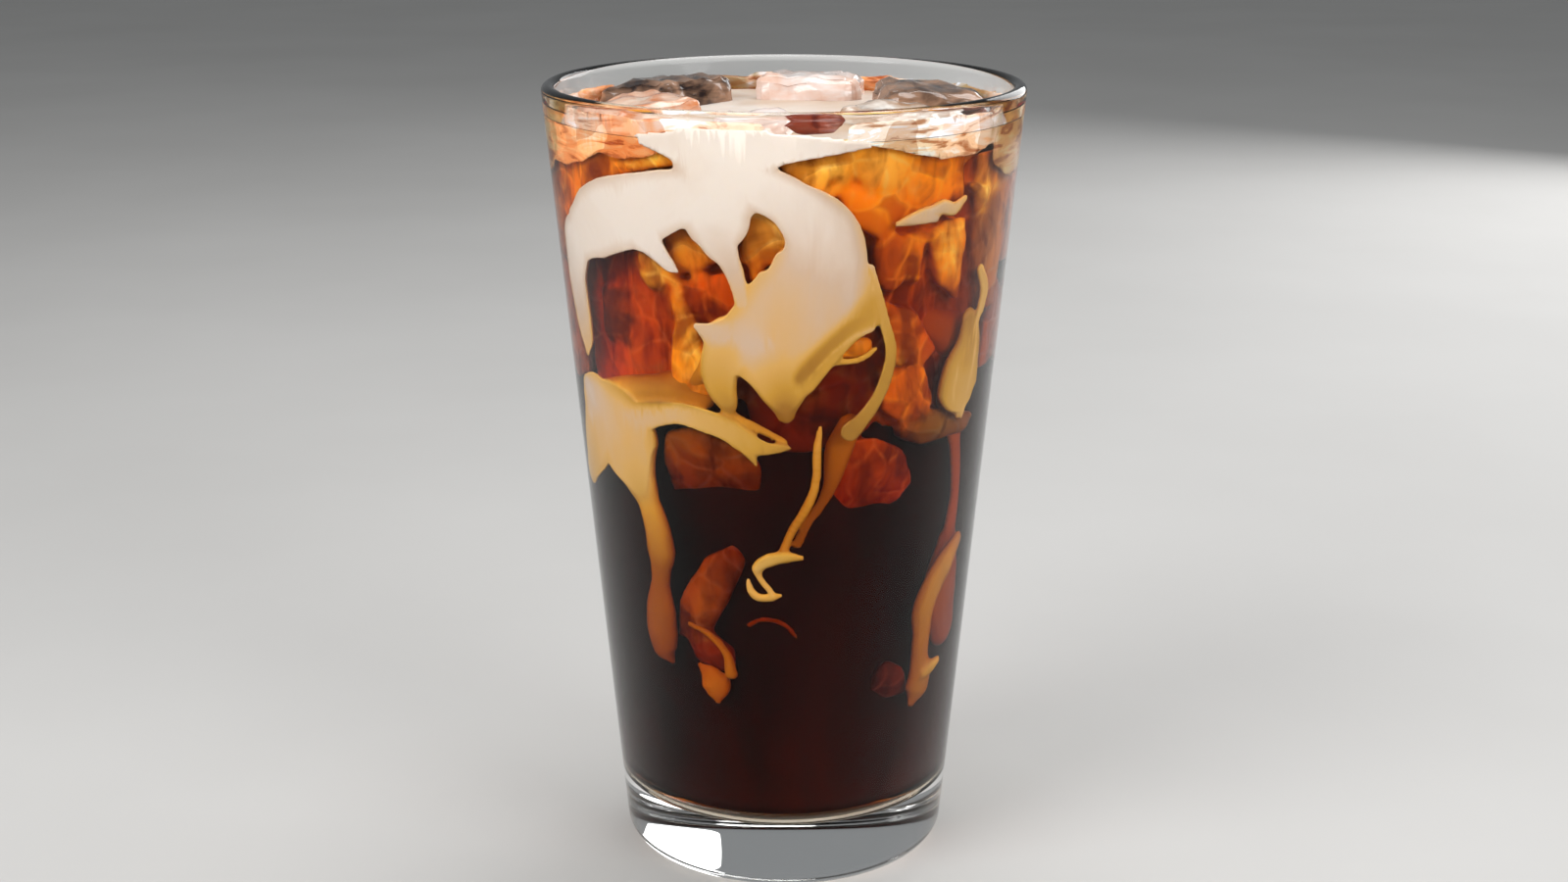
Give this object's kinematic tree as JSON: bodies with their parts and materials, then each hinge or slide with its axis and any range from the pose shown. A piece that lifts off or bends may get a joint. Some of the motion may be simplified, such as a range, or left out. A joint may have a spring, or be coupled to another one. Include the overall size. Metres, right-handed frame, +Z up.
{
  "type": "iced cold brew with sweet cream in a pint tumbler",
  "caption": "Clear tapered pint tumbler with a thick base, filled with cold brew coffee, floating ice and sweet cream sinking in strands along the wall.",
  "frame": {"origin": "middle of the underside of the tumbler", "axes": "+Z up along the tumbler's axis, -Y towards the viewer of the cream's main side"},
  "size_m": [0.0886, 0.0886, 0.148],
  "materials": {
    "glass": "clear, polished",
    "coffee": "clear dark liquid, amber where thin",
    "cream": "smooth opaque cream",
    "ice": "clear worn ice, stained amber"
  },
  "bodies": {
    "root": {"glass": "glass", "cold_brew": "coffee", "sweet_cream": "cream", "ice_front_left": "ice", "ice_front": "ice", "ice_front_right": "ice", "ice_right": "ice", "ice_back": "ice", "ice_back_left": "ice"}
  },
  "joints": []
}
